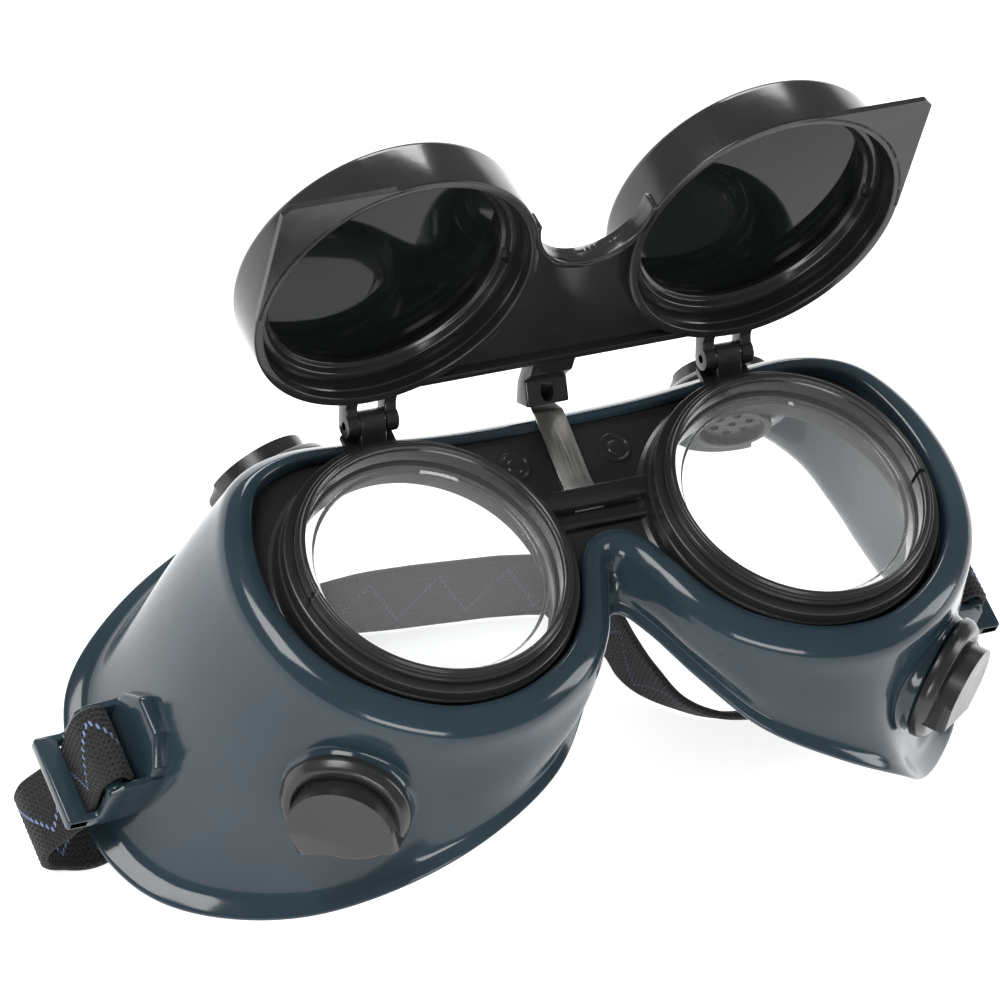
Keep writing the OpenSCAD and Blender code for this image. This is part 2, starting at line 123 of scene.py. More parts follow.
def make_studio():
    scene = bpy.context.scene
    scene.view_settings.view_transform = "Standard"
    world_data = bpy.data.worlds.new("studio")
    scene.world = world_data
    world_data.use_nodes = True
    background = world_data.node_tree.nodes["Background"]
    background.inputs["Color"].default_value = (0.95, 0.97, 1, 1)
    background.inputs["Strength"].default_value = 0.3
    middle = (0, 0, 0.06)
    area_light("key_softbox", (-0.75, 0.35, 1.15), middle, 0.7, 17, (1, 0.99, 0.97))
    area_light("back_softbox", (0.35, 1.25, 0.75), middle, 0.8, 14, size_y=0.45)
    area_light("side_softbox", (1.25, -0.35, 0.6), middle, 0.4, 8, (0.96, 0.98, 1), size_y=0.9)
    area_light("front_softbox", (-0.45, -1.1, 0.5), middle, 0.8, 8, size_y=0.3)


# ---- Node materials ----

class Nodes:
    """A short way to write a material's node tree."""

    def __init__(self, name):
        self.material = bpy.data.materials.new(name)
        self.material.use_nodes = True
        self.tree = self.material.node_tree
        self.shader = self.tree.nodes["Principled BSDF"]

    def add(self, kind, **values):
        node = self.tree.nodes.new(kind)
        for key, value in values.items():
            setattr(node, key, value)
        return node

    def link(self, a, b):
        self.tree.links.new(a, b)

    def set(self, **values):
        for key, value in values.items():
            self.shader.inputs[key.replace("_", " ")].default_value = value

    def place(self, scale=(1, 1, 1), turn=(0, 0, 0)):
        coords = self.add("ShaderNodeTexCoord")
        mapping = self.add("ShaderNodeMapping")
        mapping.inputs["Scale"].default_value = scale
        mapping.inputs["Rotation"].default_value = turn
        self.link(coords.outputs["Object"], mapping.inputs["Vector"])
        return mapping.outputs["Vector"]

    def noise(self, vector, scale, detail=3, roughness=0.5):
        node = self.add("ShaderNodeTexNoise")
        node.inputs["Scale"].default_value = scale
        node.inputs["Detail"].default_value = detail
        node.inputs["Roughness"].default_value = roughness
        self.link(vector, node.inputs["Vector"])
        return node.outputs["Fac"]

    def ramp(self, value, stops):
        node = self.add("ShaderNodeValToRGB")
        elements = node.color_ramp.elements
        while len(elements) < len(stops):
            elements.new(0.5)
        for element, (at, colour) in zip(elements, stops):
            element.position = at
            element.color = (*colour, 1) if len(colour) == 3 else colour
        self.link(value, node.inputs["Fac"])
        return node.outputs["Color"]

    def math(self, kind, a, b=None, c=None):
        node = self.add("ShaderNodeMath", operation=kind)
        for i, value in enumerate((a, b, c)):
            if value is None:
                continue
            if isinstance(value, (int, float)):
                node.inputs[i].default_value = value
            else:
                self.link(value, node.inputs[i])
        return node.outputs["Value"]

    def spread(self, value, low, high, from_low=0.3, from_high=0.7):
        node = self.add("ShaderNodeMapRange")
        node.inputs["From Min"].default_value = from_low
        node.inputs["From Max"].default_value = from_high
        node.inputs["To Min"].default_value = low
        node.inputs["To Max"].default_value = high
        self.link(value, node.inputs["Value"])
        return node.outputs["Result"]

    def bump(self, height, thread_shading, distance, under=None):
        node = self.add("ShaderNodeBump")
        node.inputs["Strength"].default_value = thread_shading
        node.inputs["Distance"].default_value = distance
        self.link(height, node.inputs["Height"])
        if under:
            self.link(under, node.inputs["Normal"])
        return node.outputs["Normal"]

    def finish(self, colour=None, roughness=None, normal=None):
        for value, socket in ((colour, "Base Color"), (roughness, "Roughness"), (normal, "Normal")):
            if value is not None:
                self.link(value, self.shader.inputs[socket])
        return self.material


def moulded(name, dark, light, rough_low, rough_high, grain, grain_depth, coat=0.0, shine=0.4):
    """Glossy moulded plastic: cloudy colour, uneven polish, fine grain and faint handling scratches."""
    n = Nodes(name)
    n.set(Specular_IOR_Level=shine, Coat_Weight=coat, Coat_Roughness=0.04)
    here = n.place()
    cloud = n.noise(here, 38, 4)
    colour = n.ramp(cloud, [(0.32, dark), (0.7, light)])
    polish = n.noise(here, 85, 5, 0.6)
    scratch = n.noise(n.place((1600, 45, 300), (0.3, 0.5, 0.8)), 1, 2)
    marks = n.spread(scratch, 0, 0.07, 0.66, 0.74)
    roughness = n.math("ADD", n.spread(polish, rough_low, rough_high), marks)
    ripple = n.noise(here, 160, 2)
    fine = n.noise(here, grain, 3, 0.6)
    normal = n.bump(ripple, 0.1, 0.0005)
    normal = n.bump(fine, 0.3, grain_depth, normal)
    return n.finish(colour, roughness, normal)


def clear_glass():
    n = Nodes("clear_lens_glass")
    n.set(Transmission_Weight=0.94, IOR=1.49)
    here = n.place()
    smear = n.noise(here, 60, 4, 0.65)
    tint = n.ramp(smear, [(0.2, (0.955, 0.968, 0.965)), (0.8, (0.985, 0.99, 0.99))])
    roughness = n.spread(smear, 0.0, 0.035, 0.45, 0.8)
    normal = n.bump(n.noise(here, 70, 1), 0.1, 0.0002)
    return n.finish(tint, roughness, normal)


def shade_glass():
    n = Nodes("dark_shade_glass")
    n.set(Transmission_Weight=0.25, IOR=1.5, Specular_IOR_Level=0.2)
    here = n.place()
    cloud = n.noise(here, 30, 3)
    tint = n.ramp(cloud, [(0.3, (0.0045, 0.006, 0.0048)), (0.7, (0.0065, 0.0085, 0.0068))])
    roughness = n.spread(n.noise(here, 90, 4, 0.6), 0.015, 0.07)
    normal = n.bump(n.noise(here, 55, 1), 0.12, 0.0003)
    return n.finish(tint, roughness, normal)


def gasket_rubber():
    n = Nodes("gasket_rubber")
    here = n.place()
    grain = n.noise(here, 900, 3)
    colour = n.ramp(n.noise(here, 120, 3), [(0.3, (0.014, 0.014, 0.014)), (0.7, (0.03, 0.03, 0.029))])
    return n.finish(colour, n.spread(grain, 0.6, 0.85), n.bump(grain, 0.4, 0.0001))


def brushed_steel():
    n = Nodes("spring_steel")
    n.set(Metallic=1.0, Specular_IOR_Level=0.5)
    lines = n.noise(n.place((5200, 90, 90)), 1, 3, 0.6)
    cloud = n.noise(n.place(), 140, 3)
    colour = n.ramp(cloud, [(0.3, (0.46, 0.44, 0.41)), (0.7, (0.62, 0.60, 0.57))])
    return n.finish(colour, n.spread(lines, 0.24, 0.42), n.bump(lines, 0.35, 0.00006))


STRAP_RIBS = 13
ZIGZAG_MM = 14.0
STITCH_MM = 1.6
# Length at each end of the strap where the blue thread carries no painted shade
UNSHADED_THREAD_MM = 75


def strap_elastic(half_width, thread_shade_end):
    """Ribbed black elastic.  The UV map holds millimetres along and across the band.

    The blue zigzag thread is at full colour over the first and the last stretch of the band, and painted shade
    dims it between them, where the strap lies in shadow.
    """
    n = Nodes("strap_elastic")
    n.set(Specular_IOR_Level=0.2, Sheen_Weight=0.06, Sheen_Roughness=0.4)
    uv = n.add("ShaderNodeUVMap", uv_map="UVMap")
    split = n.add("ShaderNodeSeparateXYZ")
    n.link(uv.outputs["UV"], split.inputs["Vector"])
    along, across = split.outputs["X"], split.outputs["Y"]
    rib_phase = n.math("MULTIPLY", across, math.pi * STRAP_RIBS / half_width)
    offset = n.math("MULTIPLY", n.math("SIGN", n.math("SINE", rib_phase)), math.pi / 2)
    weave = n.math("SINE", n.math("ADD", n.math("MULTIPLY", along, 2 * math.pi / 0.9), offset))
    zigzag = n.math("PINGPONG", along, ZIGZAG_MM / 2)
    swing = n.math("MULTIPLY", n.math("SUBTRACT", zigzag, ZIGZAG_MM / 4), 4 * 0.62 * half_width / ZIGZAG_MM)
    aside = n.math("ABSOLUTE", n.math("SUBTRACT", across, swing))
    step = n.math("ABSOLUTE", n.math("SUBTRACT", n.math("PINGPONG", along, STITCH_MM / 2), STITCH_MM / 4))
    spot = n.math("ADD", n.math("MULTIPLY", n.math("MULTIPLY", aside, aside), 3.4),
                  n.math("MULTIPLY", n.math("MULTIPLY", step, step), 20.0))
    # Painted shade: the blue thread is dimmed along the middle stretch of the strap, which lies in shadow
    thread_unshaded = n.math("MAXIMUM", n.math("LESS_THAN", along, UNSHADED_THREAD_MM), n.math("GREATER_THAN", along, thread_shade_end))
    thread_shading = n.math("MULTIPLY_ADD", thread_unshaded, 0.78, 0.22)
    thread = n.math("MULTIPLY", n.math("LESS_THAN", spot, 1.0), thread_shading)
    fuzz = n.noise(n.place(), 1400, 2)
    shade = n.ramp(n.math("MULTIPLY_ADD", weave, 0.2, fuzz),
                   [(0.25, (0.006, 0.006, 0.007)), (0.85, (0.03, 0.03, 0.032))])
    mix = n.add("ShaderNodeMix", data_type="RGBA")
    n.link(thread, mix.inputs["Factor"])
    n.link(shade, mix.inputs[6])
    mix.inputs[7].default_value = (0.16, 0.22, 0.42, 1)
    height = n.math("ADD", weave, n.math("MULTIPLY", thread, 1.5))
    roughness = n.spread(fuzz, 0.6, 0.85)
    return n.finish(mix.outputs[2], roughness, n.bump(height, 0.6, 0.0001))


def pale_floor():
    n = Nodes("pale_floor")
    n.set(Emission_Color=(1, 1, 1, 1), Emission_Strength=0.68)
    here = n.place()
    colour = n.ramp(n.noise(here, 2.5, 3), [(0.3, (0.80, 0.80, 0.80)), (0.7, (0.83, 0.83, 0.83))])
    return n.finish(colour, n.spread(n.noise(here, 40, 2), 0.55, 0.65), None)


MATERIALS = {
    "body": moulded("blue_slate_pvc", (0.015, 0.028, 0.038), (0.022, 0.037, 0.048),
                    0.1, 0.17, 2600, 0.00002, 0.16, 0.25),
    "plate": moulded("black_plate_plastic", (0.015, 0.0155, 0.015), (0.02, 0.0205, 0.0195),
                     0.16, 0.26, 3200, 0.000015),
    "flip": moulded("black_flip_plastic", (0.013, 0.0134, 0.013), (0.018, 0.0184, 0.0175),
                    0.12, 0.2, 3400, 0.00001),
    "vent": moulded("black_vent_plastic", (0.014, 0.0145, 0.0145), (0.02, 0.0205, 0.0205),
                    0.2, 0.3, 2800, 0.00002),
    "clear": clear_glass(),
    "shade": shade_glass(),
    "rubber": gasket_rubber(),
    "steel": brushed_steel(),
}


# ---- Mesh helpers ----

def name_of(stem, side):
    return stem + ("_left" if side > 0 else "_right")


def smooth_object(name, bm, finish, body, sharp=32, subdivide=0):
    """Puts a mesh in the scene with a material, rounded shading and a body to ride on."""
    bmesh.ops.recalc_face_normals(bm, faces=bm.faces)
    mesh = bpy.data.meshes.new(name)
    bm.to_mesh(mesh)
    bm.free()
    obj = bpy.data.objects.new(name, mesh)
    bpy.context.scene.collection.objects.link(obj)
    mesh.shade_smooth()
    if not subdivide:
        mesh.set_sharp_from_angle(angle=math.radians(sharp))
    mesh.materials.clear()
    mesh.materials.append(MATERIALS[finish])
    if subdivide:
        modifier = obj.modifiers.new("smooth", "SUBSURF")
        modifier.levels = modifier.render_levels = subdivide
    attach(obj, body)
    return obj


def baked(obj):
    """Applies an object's modifiers."""
    graph = bpy.context.evaluated_depsgraph_get()
    mesh = bpy.data.meshes.new_from_object(obj.evaluated_get(graph), depsgraph=graph)
    old = obj.data
    obj.modifiers.clear()
    obj.data = mesh
    bpy.data.meshes.remove(old)


def new_bm(points, faces):
    bm = bmesh.new()
    verts = [bm.verts.new(p) for p in points]
    for f in faces:
        bm.faces.new([verts[i] for i in f])
    return bm


def joined(parts):
    whole = bmesh.new()
    for part in parts:
        mesh = bpy.data.meshes.new("part")
        part.to_mesh(mesh)
        part.free()
        whole.from_mesh(mesh)
        bpy.data.meshes.remove(mesh)
    return whole


def moved(bm, matrix):
    bmesh.ops.transform(bm, matrix=matrix, verts=bm.verts)
    if matrix.determinant() < 0:
        bmesh.ops.reverse_faces(bm, faces=bm.faces)
    return bm


def bevelled(bm, width, segments=3, angle=30):
    bmesh.ops.recalc_face_normals(bm, faces=bm.faces)
    edges = [e for e in bm.edges if len(e.link_faces) == 2 and e.calc_face_angle() > math.radians(angle)]
    bmesh.ops.bevel(bm, geom=edges, offset=width, segments=segments, profile=0.5, affect="EDGES",
                    clamp_overlap=True)
    return bm


def rounded(profile, radius, steps=4):
    """Rounds the corners of a closed profile; a corner may state its own radius as a third value."""
    out = []
    count = len(profile)
    for i, corner in enumerate(profile):
        r = corner[2] if len(corner) > 2 else radius
        here = Vector(corner[:2])
        a = Vector(profile[i - 1][:2]) - here
        b = Vector(profile[(i + 1) % count][:2]) - here
        turn = a.angle(b) if a.length and b.length else math.pi
        if r <= 0 or turn > math.radians(175):
            out.append(here)
            continue
        reach = min(r / math.tan(turn / 2), 0.45 * a.length, 0.45 * b.length)
        start, end = here + a.normalized() * reach, here + b.normalized() * reach
        for k in range(steps + 1):
            t = k / steps
            out.append((1 - t) ** 2 * start + 2 * t * (1 - t) * here + t * t * end)
    return [(p.x, p.y) for p in out]


def lathe(profile, segments=128, start=0.0, sweep=360.0):
    """Turns a closed profile of (radius, z) round the Z axis.  A sweep under 360 gets end caps."""
    full = sweep >= 359.99
    rings = segments if full else segments + 1
    count = len(profile)
    points = []
    for k in range(rings):
        angle = math.radians(start + sweep * k / segments)
        points += [(r * math.cos(angle), r * math.sin(angle), z) for r, z in profile]
    faces = []
    for k in range(segments):
        a, b = k * count, ((k + 1) % rings) * count
        for i in range(count):
            j = (i + 1) % count
            faces.append((a + i, b + i, b + j, a + j))
    if not full:
        faces += [tuple(range(count)), tuple(reversed(range(segments * count, rings * count)))]
    bm = new_bm(points, faces)
    bmesh.ops.remove_doubles(bm, verts=bm.verts, dist=1e-5)
    bmesh.ops.dissolve_degenerate(bm, dist=1e-6, edges=bm.edges)
    return bm


def prism(outline, z0, z1):
    """A flat outline of (x, y), thick along Z."""
    count = len(outline)
    points = [(x, y, z0) for x, y in outline] + [(x, y, z1) for x, y in outline]
    faces = [tuple(reversed(range(count))), tuple(range(count, 2 * count))]
    faces += [(i, (i + 1) % count, count + (i + 1) % count, count + i) for i in range(count)]
    return new_bm(points, faces)


def side_prism(outline, x0, x1):
    """An outline of (y, z), thick along X."""
    return moved(prism(outline, x0, x1), Matrix(((0, 0, 1, 0), (1, 0, 0, 0), (0, 1, 0, 0), (0, 0, 0, 1))))


def block(x0, x1, y0, y1, z0, z1):
    return prism([(x0, y0), (x1, y0), (x1, y1), (x0, y1)], z0, z1)


def arc(cx, cy, r, a0, a1, steps):
    return [(cx + r * math.cos(math.radians(a0 + (a1 - a0) * k / steps)),
             cy + r * math.sin(math.radians(a0 + (a1 - a0) * k / steps))) for k in range(steps + 1)]


def spline(a, b, c, d, t):
    """A smooth curve from b to c, with a before them and d after them."""
    return 0.5 * (2 * b + (c - a) * t + (2 * a - 5 * b + 4 * c - d) * t * t + (3 * b - a - 3 * c + d) * t ** 3)


def cut(obj, cutter_bm):
    """Cuts a closed shape out of an object for good."""
    bmesh.ops.recalc_face_normals(cutter_bm, faces=cutter_bm.faces)
    mesh = bpy.data.meshes.new("cutter")
    cutter_bm.to_mesh(mesh)
    cutter_bm.free()
    cutter = bpy.data.objects.new("cutter", mesh)
    bpy.context.scene.collection.objects.link(cutter)
    modifier = obj.modifiers.new("cut", "BOOLEAN")
    modifier.object = cutter
    modifier.operation = "DIFFERENCE"
    modifier.solver = "EXACT"
    bpy.context.view_layer.update()
    baked(obj)
    bpy.data.objects.remove(cutter)
    bpy.data.meshes.remove(mesh)


def at_lens(side):
    return Matrix.Translation((side * PITCH / 2, 0, 0))


# ---- The soft body ----

# One half of the body from the middle of the forehead round to the nose.
# Each row: lip x, lip y, lip width, lip height, rim x, rim y, rim z
STATIONS = [
    (0, 31.5, 4.6, -8.4, 0, 34.5, -21), (20, 31.8, 4.6, -8.2, 25, 36, -23),
    (38, 33, 4.6, -7.4, 48, 37.5, -32), (53, 33, 4.8, -6.6, 65, 36.5, -45),
    (64.3, 28.2, 5.6, -6, 77, 32.5, -57), (71, 17.4, 6.4, -5.6, 85, 24.5, -64),
    (73.6, 3.9, 6.8, -5.4, 89, 10, -66), (71.8, -9.3, 6.8, -5, 90, -5, -66.5),
    (66.4, -19.9, 6.8, -4.8, 85.2, -18, -66), (57.6, -28.3, 6.8, -4.6, 76, -28, -62),
    (46.5, -33.6, 6.8, -4.6, 64, -37.2, -52), (35.8, -34.6, 6.8, -4.6, 51.4, -43.2, -37.5),
    (25.2, -32.4, 6.8, -4.6, 36, -42, -28.6), (14.7, -26.6, 6.8, -4.8, 21, -35, -23.4),
    (7.6, -18.4, 6.6, -5, 11.5, -24, -20), (3.5, -9.5, 6.4, -5.4, 5, -14, -17.8),
    (0, -3.5, 6.2, -5.8, 0, -9, -17)]
RING_STEPS = 6
PLATE_Z, PLATE_T = -9.7, 2.2
WALL_T, FLARE_W, FLARE_RISE = 2.0, 6.0, 2.6
# The flare fades from the low temples to the high nose
NOSE_Z, TEMPLE_DROP = -17, 49


def body_curve():
    half = np.array(STATIONS, float)
    mirror = np.array([-1, 1, 1, 1, -1, 1, 1])
    loop = np.vstack([half, (half[-2:0:-1]) * mirror])
    count = len(loop)
    rows = []
    for i in range(count):
        a, b, c, d = loop[i - 1], loop[i], loop[(i + 1) % count], loop[(i + 2) % count]
        for k in range(RING_STEPS):
            rows.append(spline(a, b, c, d, k / RING_STEPS))
    return np.array(rows)


CURVE = body_curve()


def inward(columns):
    tangent = np.roll(CURVE[:, columns], -1, 0) - np.roll(CURVE[:, columns], 1, 0)
    tangent /= np.linalg.norm(tangent, axis=1)[:, None]
    return np.c_[tangent[:, 1], -tangent[:, 0]]


LIP_IN, RIM_IN = inward([0, 1]), inward([4, 5])


def body_section(j):
    lip = np.array([*CURVE[j, 0:2], 0.0])
    rim = CURVE[j, 4:7]
    lip_w, top = CURVE[j, 2:4]
    n = np.array([*LIP_IN[j], 0.0])
    m = np.array([*RIM_IN[j], 0.0])

    def at_lip(inset, z):
        return lip + inset * n + np.array([0, 0, z])

    def at_rim(inset, rise):
        return rim + inset * m + np.array([0, 0, rise])

    groove_front, groove_back = PLATE_Z + 0.1, PLATE_Z - PLATE_T - 0.1
    lip_back = groove_back - 1
    wall_top = at_lip(0, min(top - 6, lip_back + 1.4))
    share = 0.3 + 0.7 * (NOSE_Z - rim[2]) / TEMPLE_DROP
    flare, rise = FLARE_W * share, FLARE_RISE * share
    wall_end = at_rim(flare, rise)
    inner_top = at_lip(WALL_T, lip_back)
    inner_end = at_rim(flare + WALL_T, rise - 1)

    def wall(a, b, t):
        return a + (b - a) * t - 3.2 * t * (1 - t) * n

    return [at_lip(lip_w, groove_front), at_lip(lip_w, groove_front + 0.3),
            at_lip(lip_w, top - 1.0), at_lip(lip_w - 0.35, top - 0.35), at_lip(lip_w - 1.1, top - 0.05),
            at_lip(lip_w / 2 + 0.5, top), at_lip(2.3, top - 0.75), at_lip(1.1, top - 1.9),
            at_lip(0.35, top - 3.5), wall_top, wall(wall_top, wall_end, 0.25), wall(wall_top, wall_end, 0.5),
            wall(wall_top, wall_end, 0.78), at_rim(flare * 0.76 + 0.1, rise * 0.8),
            at_rim(flare * 0.38 + 0.2, rise * 0.5), at_rim(0.65, 0.2), at_rim(0.1, -0.15), at_rim(0, -0.7),
            at_rim(0.3, -1.25), at_rim(1.0, -1.6), at_rim(flare * 0.5 + 0.8, rise * 0.4 - 2), inner_end,
            wall(inner_top, inner_end, 0.72), wall(inner_top, inner_end, 0.36), inner_top,
            at_lip(lip_w - 0.4, lip_back), at_lip(lip_w, lip_back + 0.3), at_lip(lip_w, groove_back),
            at_lip(lip_w - 1.6, groove_back), at_lip(lip_w - 1.6, groove_front)]


# Vent places and the turn of each about Z, for the wearer's left side
VENTS = {"upper": ((47, 36.6, -27.6), 76.0, 0.0), "lower": ((60.7, -31.2, -26), -52.0, -29.0)}
VENT_TILT = 82.0
VENT_R, STEM_R, BOSS_TOP = 11.6, 7.4, -0.65
STEM_BOTTOM, FLANGE_T, HOOD_H, HOOD_WALL = -6.6, 3.1, 3.4, 1.1


def at_vent(side, which):
    place, turn, _ = VENTS[which]
    matrix = (Matrix.Translation(place) @ Matrix.Rotation(math.radians(turn), 4, "Z")
              @ Matrix.Rotation(math.radians(VENT_TILT), 4, "Y"))
    return Matrix.Scale(-1, 4, (1, 0, 0)) @ matrix if side < 0 else matrix


def vent_boss(side, which, skin_tree):
    """The moulded collar under a vent, whose skirt runs out onto the wall."""
    place = at_vent(side, which)
    back = place.inverted()
    down = (place.to_3x3() @ Vector((0, 0, -1))).normalized()
    rows = [(STEM_R + 0.1, -4.4, 0), (STEM_R + 0.1, BOSS_TOP, 0), (VENT_R - 1.3, BOSS_TOP, 0),
            (VENT_R - 0.7, BOSS_TOP - 0.12, 0), (VENT_R - 0.3, BOSS_TOP - 0.5, 0),
            (VENT_R - 0.1, BOSS_TOP - 1.0, 0.2), (VENT_R + 0.1, 0, 0.75), (VENT_R + 0.6, 0, 0.95),
            (VENT_R + 1.1, -0.15, 1.0), (VENT_R + 1.6, -0.5, 1.0)]
    segments = 72
    points = []
    for k in range(segments):
        angle = 2 * math.pi * k / segments
        for r, z, wall in rows:
            p = Vector((r * math.cos(angle), r * math.sin(angle), 0))
            if wall:
                hit = skin_tree.ray_cast(place @ (p + Vector((0, 0, 14))), down)[0]
                level = (back @ hit).z if hit else -3.0
                base = BOSS_TOP - 1.0
                z = z + level if wall >= 1 else base + (level - base) * wall
            points.append(p + Vector((0, 0, z)))
        edge = points[-1].copy()
        points.append(edge + Vector((0, 0, -0.9)))
    count = len(rows) + 1
    faces = [(k * count + i, ((k + 1) % segments) * count + i, ((k + 1) % segments) * count + (i + 1) % count,
              k * count + (i + 1) % count) for k in range(segments) for i in range(count)]
    return moved(new_bm(points, faces), place)


def make_body():
    rings = [body_section(j) for j in range(len(CURVE))]
    count, n = len(rings[0]), len(rings)
    points = [tuple(p) for ring in rings for p in ring]
    faces = [(j * count + i, j * count + (i + 1) % count, ((j + 1) % n) * count + (i + 1) % count,
              ((j + 1) % n) * count + i) for j in range(n) for i in range(count)]
    skin_bm = moved(new_bm(points, faces), TO_ROW)
    skin = smooth_object("body_shell", skin_bm, "body", GOGGLES, subdivide=2)
    baked(skin)
    tree_bm = bmesh.new()
    tree_bm.from_mesh(skin.data)
    bmesh.ops.transform(tree_bm, matrix=TO_ROW.inverted(), verts=tree_bm.verts)
    tree = BVHTree.FromBMesh(tree_bm)
    tree_bm.free()
    bosses, holes = [], []
    for side in (-1, 1):
        for which in VENTS:
            bosses.append(vent_boss(side, which, tree))
            hole = lathe([(0, -11), (STEM_R + 0.05, -11), (STEM_R + 0.05, BOSS_TOP), (VENT_R + 0.2, BOSS_TOP),
                          (VENT_R + 0.2, 7), (0, 7)], 96)
            holes.append(moved(hole, at_vent(side, which)))
    cut(skin, moved(joined(holes), TO_ROW))
    smooth_object("vent_collars", moved(joined(bosses), TO_ROW), "body", GOGGLES, sharp=50)
    # A small round moulding mark beside the nose
    gate = lathe(rounded([(0.45, -0.5, 0), (0.45, 0.12, 0.1), (1.1, 0.12, 0.2), (1.3, -0.5, 0)], 0.05, 3), 32)
    face = Vector((-0.67, -0.73, 0.13)).to_track_quat("Z", "Y").to_matrix().to_4x4()
    gate = moved(gate, TO_ROW @ Matrix.Translation((13.38, -25.55, -12.58)) @ face)
    smooth_object("moulding_mark", gate, "body", GOGGLES, sharp=50)
    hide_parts("goggle_body")


LUG_Y, LUG_HALF, LUG_ARM = 3.1, 8.6, 1.5
BAR_X, BAR_Z, BAR_R = 89.0, -50.8, 2.0


def make_lug(side):
    pad = prism([(6.6, -8.7), (6.6, 8.7), (-4.4, 8.7), (-9.3, 4), (-9.3, -4), (-4.4, -8.7)], 0, 3.8)
    pad = moved(bevelled(pad, 0.9, 4),
                Matrix.Translation((80.16, LUG_Y, -50.66)) @ Matrix.Rotation(math.radians(80), 4, "Y"))
    parts = [pad]
    arm = rounded([(80.8, -48, 0), (BAR_X - 0.7, BAR_Z + BAR_R, 1.2), (BAR_X + BAR_R, BAR_Z + 0.5, 1.4),
                   (BAR_X + BAR_R + 0.4, -56.9, 1.0), (97.1, -57.1, 0.4), (97.1, -59.5, 0.6), (88, -59.6, 2),
                   (80.8, -57.5, 0)], 0.5, 5)
    stand = Matrix(((1, 0, 0, 0), (0, 0, -1, 0), (0, 1, 0, 0), (0, 0, 0, 1)))
    for end in (-1, 1):
        flat = bevelled(prism(arm, -LUG_ARM / 2, LUG_ARM / 2), 0.4, 3, 60)
        parts.append(moved(flat, Matrix.Translation((0, LUG_Y + end * LUG_HALF, 0)) @ stand))
    bar = lathe([(0, -LUG_HALF), (BAR_R, -LUG_HALF), (BAR_R, LUG_HALF), (0, LUG_HALF)], 32)
    parts.append(moved(bar, Matrix.Translation((BAR_X, LUG_Y, BAR_Z))
                       @ Matrix.Rotation(math.radians(90), 4, "X")))
    reach = LUG_HALF + LUG_ARM / 2
    parts.append(bevelled(block(93, 97.4, LUG_Y - reach, LUG_Y + reach, -59.6, -57), 0.55, 3))
    bm = joined(parts)
    if side < 0:
        moved(bm, Matrix.Scale(-1, 4, (1, 0, 0)))
    smooth_object(name_of("strap_lug", side), moved(bm, TO_ROW), "body", GOGGLES)


# ---- Vents ----

HOOD_HALF, HOOD_X, HOOD_END = 9.6, 1.4, 6.3


def hood_outline(inset, end):
    r = HOOD_HALF - inset
    return [(end, -r)] + [(end, r)] + [(HOOD_X, r)] + arc(HOOD_X, 0, r, 90, 270, 40)[1:-1] + [(HOOD_X, -r)]


def make_vent(side, which):
    hood_turn = Matrix.Rotation(math.radians(VENTS[which][2]), 4, "Z")
    flange_z = BOSS_TOP + 0.05
    hood_z = flange_z + FLANGE_T
    flange = rounded([(6, STEM_BOTTOM, 0.3), (STEM_R, STEM_BOTTOM, 0.3), (STEM_R, flange_z, 0),
                      (VENT_R + 0.35, flange_z, 0.4), (VENT_R + 0.35, flange_z + 1.5, 1.2),
                      (VENT_R - 0.7, hood_z, 1.2), (VENT_R - 2.2, hood_z, 0.8),
                      (VENT_R - 2.9, hood_z - 0.6, 0.4), (6, hood_z - 0.6, 0.2)], 0.3)
    name = name_of("vent_" + which, side)
    hood = prism(hood_outline(0, HOOD_END), flange_z + 0.5, hood_z + HOOD_H)
    top = [e for e in hood.edges if all(v.co.z > hood_z + HOOD_H - 0.1 for v in e.verts)
           and not all(v.co.x > HOOD_END - 0.1 for v in e.verts)]
    bmesh.ops.bevel(hood, geom=top, offset=1.9, segments=7, profile=0.5, affect="EDGES", clamp_overlap=True)
    place = TO_ROW @ at_vent(side, which)
    piece = smooth_object(name, moved(moved(hood, hood_turn), place), "vent", GOGGLES, sharp=28)
    inner = prism(hood_outline(HOOD_WALL, HOOD_END + 4), hood_z - 0.7, hood_z + HOOD_H - HOOD_WALL)
    cut(piece, moved(moved(inner, hood_turn), place))
    smooth_object(name + "_flange", moved(lathe(flange, 96), place), "vent", GOGGLES, sharp=28)
    piece.data.set_sharp_from_angle(angle=math.radians(28))
    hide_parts(name)


# ---- Front plate ----

HOUSING_R, SHOULDER_Z, SEAT_Z = 27.4, -2.9, -7.4
BORE_R, WINDOW_R = LENS_R + 0.15, LENS_R - 1.8
HINGE_X, KNUCKLE_W, KNUCKLE_R, EAR_W, EAR_GAP = 36.4, 5.0, 2.3, 2.4, 0.15


